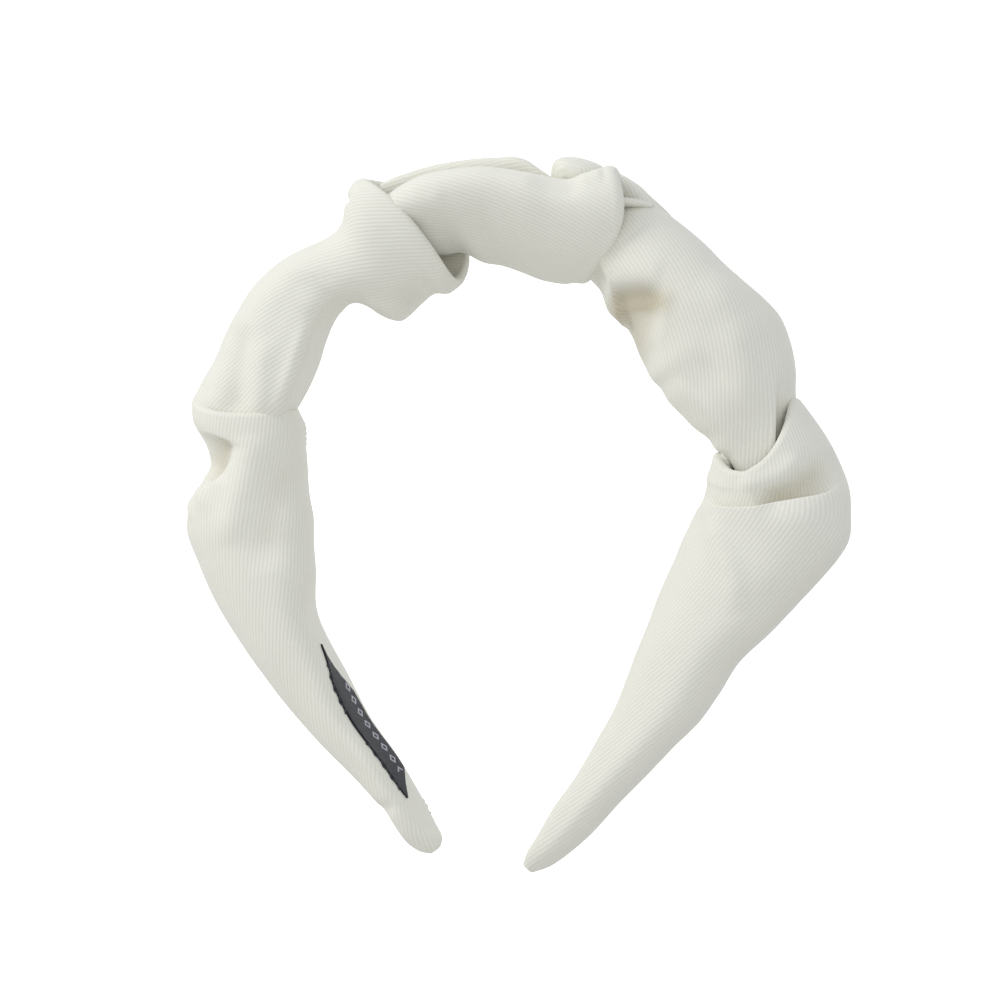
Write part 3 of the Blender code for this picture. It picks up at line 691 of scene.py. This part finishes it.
def loop_grid(count, around):
    """Padded fold that wraps the crown length's right end, from its top round the back."""
    turn = np.radians(np.linspace(LOOP_START, LOOP_END, count))[:, None]
    angle = angles_round(around + 1)[None, :]
    part = (turn - turn[0]) / (turn[-1] - turn[0])
    swell = np.sin(math.pi * (0.01 + 0.95 * part)) ** 0.45
    middle = LOOP_PLACE + LOOP_DRIFT * part
    s = middle + LOOP_HALF_WIDTH * swell * signed_power(np.cos(angle), 2.0 / LOOP_POWER)
    radius = LOOP_HALF_DEPTH * swell * signed_power(np.sin(angle), 2.0 / LOOP_POWER)
    thicker_start = 1.0 + 1.5 * np.clip(1.0 - part / 0.45, 0.0, 1.0)
    radius = np.where(radius < 0.0, radius * thicker_start, radius)
    crowned = 1.0 - ((s - middle) / LOOP_CROWN_REACH) ** 2
    outward = LOOP_OUTWARD + (LOOP_RADIUS + crowned + radius) * np.cos(turn)
    backward = -LOOP_FORWARD + (LOOP_DEPTH_RADIUS + radius) * np.sin(turn)
    grid = arch(s, outward, backward)
    front = around // 2
    girth = path_length(grid)
    girth -= girth[:, front : front + 1]
    along = path_length(grid[:, front])[:, None]
    across_ribs = girth * math.cos(LOOP_RIB_ANGLE) + along * math.sin(LOOP_RIB_ANGLE)
    along_ribs = along * math.cos(LOOP_RIB_ANGLE) - girth * math.sin(LOOP_RIB_ANGLE)
    return grid, np.stack([across_ribs, along_ribs], axis=-1)


def fold(name, rows, count, around):
    """Closed flattened fold through the given sections."""
    grid, girth, table, _ = sections(rows, count, around)
    return skin(name, grid, weave_of(grid, girth, table))


back_strand = fold("crown_back_strand_cover", BACK_STRAND, 120, 72)
knot_tuck = fold("upper_right_tuck_cover", KNOT_TUCK, 70, 64)
knot_roll = fold("upper_right_roll_cover", KNOT_ROLL, 60, 40)
knot_loop = skin("upper_right_loop_cover", *loop_grid(150, 80))


def sleeve_grid(count, around):
    """Thin flat tube along the band, with its ribs across it."""
    s = np.linspace(-SLEEVE_HALF_LENGTH, SLEEVE_HALF_LENGTH, count)[:, None]
    angle = angles_round(around + 1)[None, :]
    width = np.interp(np.abs(s), *zip(*SLEEVE_WIDTH))
    lift = SLEEVE_RISE * np.exp(-(((s - SLEEVE_RISE_AT) / SLEEVE_RISE_REACH) ** 4))
    o = lift + SLEEVE_TOP * signed_power(np.cos(angle), SLEEVE_POWER)
    y = -width * signed_power(np.sin(angle), SLEEVE_POWER)
    weave = np.stack(np.broadcast_arrays(s, -y), axis=-1)
    return arch(s, o, y), weave


band_cover = skin("band_sleeve_cover", *sleeve_grid(340, 28))


# Label and hand stitches

def on_surface(surface, row, girth_at, lift):
    """Point a little off a tube's cloth, by its row and girth there."""
    grid, girth, _, _ = surface
    base = min(max(int(row), 1), len(grid) - 3)
    ring = grid[base] + (grid[base + 1] - grid[base]) * (row - base)
    nearby = grid[base + 2] - grid[base - 1]
    point = np.array([np.interp(girth_at, girth[base], ring[:, k]) for k in range(3)])
    beside = np.array([np.interp(girth_at + 0.6, girth[base], ring[:, k]) for k in range(3)])
    along = np.array([np.interp(girth_at, girth[base], nearby[:, k]) for k in range(3)])
    normal = np.cross(along, beside - point)
    normal /= np.linalg.norm(normal) + 1e-9
    if np.dot(normal, point - ring[:-1].mean(axis=0)) < 0.0:
        normal = -normal
    return point + normal * lift


def label_edges(along):
    """Station at a share along the label, and its reach to the front and back there."""
    s = LABEL_TOP + (LABEL_BOTTOM - LABEL_TOP) * along
    return s, np.interp(s, LABEL_STATIONS, LABEL_FRONT), np.interp(s, LABEL_STATIONS, LABEL_BACK)


def label_girth(along, across):
    """Row and girth on the left leg at shares along the label and across it from its back edge."""
    s, front, back = label_edges(along)
    _, _, table, inner = leg_surface
    rows = np.arange(len(table))
    row = float(np.interp(-s, -table[:, 2], rows))
    return row, np.interp(row, rows, inner) + back - (back + front) * across


def label_grid(count, across_count):
    """Thin strip on the left leg's inner face, and its own length and width for the pattern."""
    grid = []
    weave = []
    shares = np.linspace(0.0, 1.0, across_count)
    for along in np.arange(count) / (count - 1):
        _, front, back = label_edges(along)
        places = [label_girth(along, share) for share in shares]
        top = [on_surface(leg_surface, row, girth_at, LABEL_OVER) for row, girth_at in places]
        under = [on_surface(leg_surface, row, girth_at, LABEL_UNDER) for row, girth_at in places]
        loop = top + under[::-1]
        grid.append(loop + loop[:1])
        length = along * (LABEL_TOP - LABEL_BOTTOM)
        width = [DIAMOND_BEHIND - back + (back + front) * share for share in shares]
        loop_uv = [(across, length) for across in width + width[::-1]]
        weave.append(loop_uv + loop_uv[:1])
    return np.array(grid), np.array(weave)


label = skin("woven_label_cloth", *label_grid(110, 22))


def stitch(name, points):
    """Zigzag of sewing thread through the points, in millimetres."""
    curve = bpy.data.curves.new(name, "CURVE")
    curve.dimensions = "3D"
    curve.bevel_depth = THREAD_RADIUS * MM
    curve.bevel_resolution = 3
    curve.use_fill_caps = True
    path = curve.splines.new("POLY")
    path.points.add(len(points) - 1)
    for spot, point in zip(path.points, points):
        spot.co = (*(point * MM), 1.0)
    item = bpy.data.objects.new(name, curve)
    bpy.context.scene.collection.objects.link(item)
    return item


def label_stitch(name, near, far):
    """Whip stitches over the label's front edge, from one share along it to another."""
    points = []
    for k in range(STITCH_POINTS):
        row, edge = label_girth(near + (far - near) * k / (STITCH_POINTS - 1), 1.0)
        beside, lift = (0.28, 0.4) if k % 2 else (-0.4, 0.1)
        points.append(on_surface(leg_surface, row, edge + beside, lift))
    return stitch(name, points)


def tack(name, surface, s_start, s_end, beyond):
    """Whip stitches along a tube, at a distance round from its inner end towards the back."""
    _, _, table, inner = surface
    rows = np.arange(len(table))
    order = 1.0 if table[-1, 2] > table[0, 2] else -1.0
    points = []
    for k in range(STITCH_POINTS):
        s = s_start + (s_end - s_start) * k / (STITCH_POINTS - 1)
        row = float(np.interp(order * s, order * table[:, 2], rows))
        side = beyond + (TACK_BITE if k % 2 else -TACK_BITE)
        points.append(on_surface(surface, row, np.interp(row, rows, inner) + side, THREAD_LIFT))
    return stitch(name, points)


STITCHES = [
    (label_stitch("label_thread_upper", 0.12, 0.42), "label_stitch_upper", "label_thread"),
    (label_stitch("label_thread_lower", 0.62, 0.94), "label_stitch_lower", "label_thread"),
    (tack("tack_lower_left", leg_surface, -77.5, -83.0, 7.0), "lower_left_knot_tack", "thread"),
    (tack("tack_upper_left", left_puff_surface, -21.0, -26.0, 7.0), "upper_left_knot_tack", "thread"),
    (tack("tack_upper_right", crown_surface, 9.0, 15.0, 5.0), "upper_right_knot_tack", "thread"),
    (tack("tack_lower_right", right_leg_surface, 85.0, 90.0, 7.0), "lower_right_knot_tack", "thread"),
    (tack("tip_thread_left", leg_surface, -180.0, -187.0, 7.0), "left_tip_stitch", "thread"),
    (tack("tip_thread_right", right_leg_surface, 180.0, 187.0, 7.0), "right_tip_stitch", "thread"),
]


# Materials

def principled(name, settings):
    """New material with its shader's sockets set; returns it, its node tree and its shader."""
    material = bpy.data.materials.new(name)
    material.use_nodes = True
    tree = material.node_tree
    shader = tree.nodes["Principled BSDF"]
    for socket, value in settings.items():
        shader.inputs[socket].default_value = value
    return material, tree, shader


def maths(tree, operation, first, second=None, clamp=False):
    """Result of a Math node on numbers or other nodes' results."""
    made = tree.nodes.new("ShaderNodeMath")
    made.operation = operation
    made.use_clamp = clamp
    for socket, value in zip(made.inputs, (first, second)):
        if isinstance(value, (int, float)):
            socket.default_value = value
        elif value is not None:
            tree.links.new(value, socket)
    return made.outputs[0]


def half_wave(tree, operation, turn):
    """Sine or cosine of a turn, brought between 0 and 1."""
    wave = maths(tree, "MULTIPLY", maths(tree, operation, turn), 0.5)
    return maths(tree, "ADD", wave, 0.5)


def noise(tree, scale, detail):
    """Noise that stays with the object; scale is per metre."""
    place = tree.nodes.new("ShaderNodeTexCoord")
    made = tree.nodes.new("ShaderNodeTexNoise")
    made.inputs["Scale"].default_value = scale
    made.inputs["Detail"].default_value = detail
    tree.links.new(place.outputs["Object"], made.inputs["Vector"])
    return made.outputs[0]


def blend(tree, factor, first, second, kind="MIX"):
    """Mix of two colours, each a value or another node's result."""
    made = tree.nodes.new("ShaderNodeMix")
    made.data_type = "RGBA"
    made.blend_type = kind
    tree.links.new(factor, made.inputs["Factor"])
    for socket, value in zip((made.inputs["A"], made.inputs["B"]), (first, second)):
        if isinstance(value, tuple):
            socket.default_value = (*value, 1.0)
        else:
            tree.links.new(value, socket)
    return made.outputs["Result"]


def raise_surface(tree, shader, height, distance):
    """Bump from a height, at a distance in metres."""
    bump = tree.nodes.new("ShaderNodeBump")
    bump.inputs["Strength"].default_value = 1.0
    bump.inputs["Distance"].default_value = distance
    tree.links.new(height, bump.inputs["Height"])
    tree.links.new(bump.outputs[0], shader.inputs["Normal"])


def weave_place(tree):
    """Places across and along the weave, in millimetres."""
    uv = tree.nodes.new("ShaderNodeUVMap")
    uv.uv_map = "weave"
    split = tree.nodes.new("ShaderNodeSeparateXYZ")
    tree.links.new(uv.outputs[0], split.inputs[0])
    return split.outputs[0], split.outputs[1]


def twill(name, light, groove_shade, warm):
    """Ribbed twill: rounded ribs with fine yarn steps, soft sheen, a slight colour drift, and painted shade
    in the rib grooves and deep folds.
    """
    material, tree, shader = principled(
        name,
        {"Roughness": 0.82, "Sheen Weight": 0.25, "Sheen Roughness": 0.5, "Specular IOR Level": 0.25},
    )
    across, along = weave_place(tree)
    drift = maths(tree, "SUBTRACT", noise(tree, 160.0, 2.0), 0.5)
    across = maths(tree, "ADD", across, maths(tree, "MULTIPLY", drift, 0.5))
    turn = maths(tree, "MULTIPLY", across, 2.0 * math.pi / RIB_PITCH)
    round_rib = maths(tree, "POWER", half_wave(tree, "COSINE", turn), 0.55)
    yarn_turn = maths(tree, "MULTIPLY", along, 2.0 * math.pi / YARN_PITCH)
    yarn_turn = maths(tree, "ADD", yarn_turn, maths(tree, "MULTIPLY", turn, 0.5))
    yarn = maths(tree, "MULTIPLY", half_wave(tree, "SINE", yarn_turn), 0.26)
    rib = maths(tree, "MULTIPLY", round_rib, maths(tree, "ADD", yarn, 0.74))
    grain = maths(tree, "MULTIPLY", noise(tree, 2600.0, 3.0), 0.35)
    raise_surface(tree, shader, maths(tree, "ADD", rib, grain), 0.00006)

    base = blend(tree, noise(tree, 26.0, 2.0), light, warm)
    # Painted shade: the grooves between ribs take a darker colour.
    shade = blend(tree, maths(tree, "SUBTRACT", 1.0, rib, clamp=True), base, groove_shade)
    # Painted shade: the per-vertex shade value multiplies the colour darker in folds, mouths and dents.
    shade_attribute = tree.nodes.new("ShaderNodeAttribute")
    shade_attribute.attribute_name = "painted_shade"
    shaded_base = blend(tree, shade_attribute.outputs["Fac"], shade, FOLD_SHADE_COLOUR, "MULTIPLY")
    tree.links.new(shaded_base, shader.inputs["Base Color"])
    return material


def label_satin(name):
    """Near-black woven satin with a row of small pale diamonds down its middle."""
    material, tree, shader = principled(
        name, {"Roughness": 0.5, "Sheen Weight": 0.05, "Specular IOR Level": 0.25}
    )
    across, along = weave_place(tree)
    beat = maths(tree, "FRACT", maths(tree, "DIVIDE", along, DIAMOND_PITCH))
    length = maths(tree, "MULTIPLY", maths(tree, "ABSOLUTE", maths(tree, "SUBTRACT", beat, 0.5)), 2.2)
    side = maths(tree, "DIVIDE", maths(tree, "ABSOLUTE", across), DIAMOND_SPREAD)
    reach = maths(tree, "ADD", length, side)
    inside = maths(tree, "LESS_THAN", reach, DIAMOND_EDGE)
    ring = maths(tree, "MULTIPLY", inside, maths(tree, "GREATER_THAN", reach, DIAMOND_HOLE))
    from_centre = maths(tree, "ABSOLUTE", maths(tree, "SUBTRACT", along, DIAMOND_CENTRE))
    mark = maths(tree, "MULTIPLY", ring, maths(tree, "LESS_THAN", from_centre, DIAMOND_REACH))
    colour = blend(tree, mark, (0.012, 0.014, 0.02), (0.42, 0.42, 0.48))
    tree.links.new(colour, shader.inputs["Base Color"])
    picks = maths(tree, "SINE", maths(tree, "MULTIPLY", along, 2.0 * math.pi / 0.36))
    warp = maths(tree, "SINE", maths(tree, "MULTIPLY", across, 2.0 * math.pi / 0.3))
    raised_mark = maths(tree, "MULTIPLY", mark, 1.5)
    height = maths(tree, "ADD", maths(tree, "MULTIPLY", picks, warp), raised_mark)
    raise_surface(tree, shader, height, 0.00003)
    return material


def spun_thread(name, colour):
    """Sewing thread: fine twisted plies over a plain colour."""
    material, tree, shader = principled(
        name, {"Base Color": (*colour, 1.0), "Roughness": 0.6, "Sheen Weight": 0.2}
    )
    place = tree.nodes.new("ShaderNodeTexCoord")
    plies = tree.nodes.new("ShaderNodeTexWave")
    plies.inputs["Scale"].default_value = 900.0
    plies.inputs["Distortion"].default_value = 1.5
    tree.links.new(place.outputs["Object"], plies.inputs["Vector"])
    raise_surface(tree, shader, plies.outputs[0], 0.00004)
    return material


def uneven(name, colour, roughness, scale):
    """Plain hidden material whose colour varies slightly."""
    material, tree, shader = principled(name, {"Roughness": roughness})
    darker = tuple(0.9 * channel for channel in colour)
    tree.links.new(blend(tree, noise(tree, scale, 4.0), colour, darker), shader.inputs["Base Color"])
    return material


cream = twill("cream_twill", (0.84, 0.835, 0.775), (0.755, 0.745, 0.66), (0.85, 0.838, 0.765))


def stand_in(piece, node_name, material):
    """Gives a piece its material and puts it in a CAD node's place."""
    piece.data.materials.append(material)
    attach(piece, "root")
    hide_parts(node_name)


PIECES = [
    (left_leg, "left_leg_sleeve", 0.55),
    (left_shoulder, "left_shoulder_puff", 0.6),
    (crown, "crown_puff", 0.6),
    (right_shoulder, "right_shoulder_puff", 0.6),
    (right_leg, "right_leg_sleeve", 0.55),
    (back_strand, "crown_back_strand", 0.5),
    (knot_loop, "upper_right_knot_loop", 0.5),
    (knot_tuck, "upper_right_knot_tuck", 0.5),
    (knot_roll, "upper_right_knot_roll", 0.5),
]
for piece, node_name, fill in PIECES:
    stand_in(piece, node_name, cream)

stand_in(band_cover, "band_sleeve", cream)
stand_in(label, "woven_label", label_satin("label_satin_black"))
threads = {
    "label_thread": spun_thread("label_thread_black", (0.02, 0.022, 0.03)),
    "thread": spun_thread("sewing_thread_cream", (0.78, 0.76, 0.68)),
}
for piece, node_name, slot_name in STITCHES:
    stand_in(piece, node_name, threads[slot_name])

# The band's plastic and the wadding keep their CAD shapes.
band_plastic = uneven("band_plastic_ivory", (0.74, 0.72, 0.66), 0.45, 60.0)
wadding = uneven("wadding_white", (0.9, 0.9, 0.88), 0.95, 900.0)
for node_name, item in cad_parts.items():
    if node_name == "core_band" or node_name.endswith("_wadding"):
        item.data.materials.clear()
        item.data.materials.append(band_plastic if node_name == "core_band" else wadding)

# Stage, light and camera

def matte(name, colour, glow):
    """Plain stage material that may glow white."""
    settings = {"Base Color": (*colour, 1.0), "Roughness": 0.9}
    settings["Emission Color"] = (1.0, 1.0, 1.0, 1.0)
    settings["Emission Strength"] = glow
    return principled(name, settings)[0]


def stage_plane(name, size, location, tilt, material):
    """Square of the stage, tilted about X."""
    bpy.ops.mesh.primitive_plane_add(size=size, location=location, rotation=(tilt, 0.0, 0.0))
    plane = bpy.context.active_object
    plane.name = name
    plane.data.materials.append(material)
    return plane


def studio_world(colour, strength):
    """Even light from all round."""
    world = bpy.data.worlds.new("studio")
    bpy.context.scene.world = world
    world.use_nodes = True
    background = world.node_tree.nodes["Background"]
    background.inputs["Color"].default_value = (*colour, 1.0)
    background.inputs["Strength"].default_value = strength


def softbox(name, place, size, power, colour):
    """Square area light that points at the object."""
    lamp = bpy.data.lights.new(name, "AREA")
    lamp.energy = power
    lamp.size = size
    lamp.color = colour
    item = bpy.data.objects.new(name, lamp)
    item.location = place
    aim = Vector((0.0, 0.0, -0.06)) - Vector(place)
    item.rotation_euler = aim.to_track_quat("-Z", "Y").to_euler()
    bpy.context.scene.collection.objects.link(item)


def add_camera():
    """Camera level with its target, turned round the object and rolled."""
    data = bpy.data.cameras.new("camera")
    data.lens = CAMERA_LENS
    data.clip_end = 20.0
    camera = bpy.data.objects.new("camera", data)
    bpy.context.scene.collection.objects.link(camera)
    right = Vector((math.cos(CAMERA_AZIMUTH), math.sin(CAMERA_AZIMUTH), 0.0))
    up = Vector((0.0, 0.0, 1.0))
    ahead = Vector((-math.sin(CAMERA_AZIMUTH), math.cos(CAMERA_AZIMUTH), 0.0))
    across = right * math.cos(CAMERA_ROLL) + up * math.sin(CAMERA_ROLL)
    top = up * math.cos(CAMERA_ROLL) - right * math.sin(CAMERA_ROLL)
    pose = Matrix((across, top, -ahead)).transposed().to_4x4()
    camera.matrix_world = Matrix.Translation(CAMERA_TARGET - ahead * CAMERA_DISTANCE) @ pose
    bpy.context.scene.camera = camera


pale = matte("pale_floor", (0.66, 0.655, 0.64), 0.0)
white = matte("white_backdrop", (0.8, 0.8, 0.8), 0.9)
floor = stage_plane("floor", 6.0, (0.0, 0.0, -0.3), 0.0, pale)
backdrop = stage_plane("backdrop", 1.1, (0.0, 0.9, 0.0), math.radians(90.0), white)
studio_world((0.95, 0.97, 1.0), 0.76)
softbox("key", (-1.0, -0.45, 0.75), 0.45, 6.6, (1.0, 0.99, 0.96))
softbox("fill", (0.25, -1.3, -0.1), 0.8, 2.2, (0.94, 0.97, 1.0))
add_camera()
bpy.context.scene.view_settings.view_transform = "Standard"
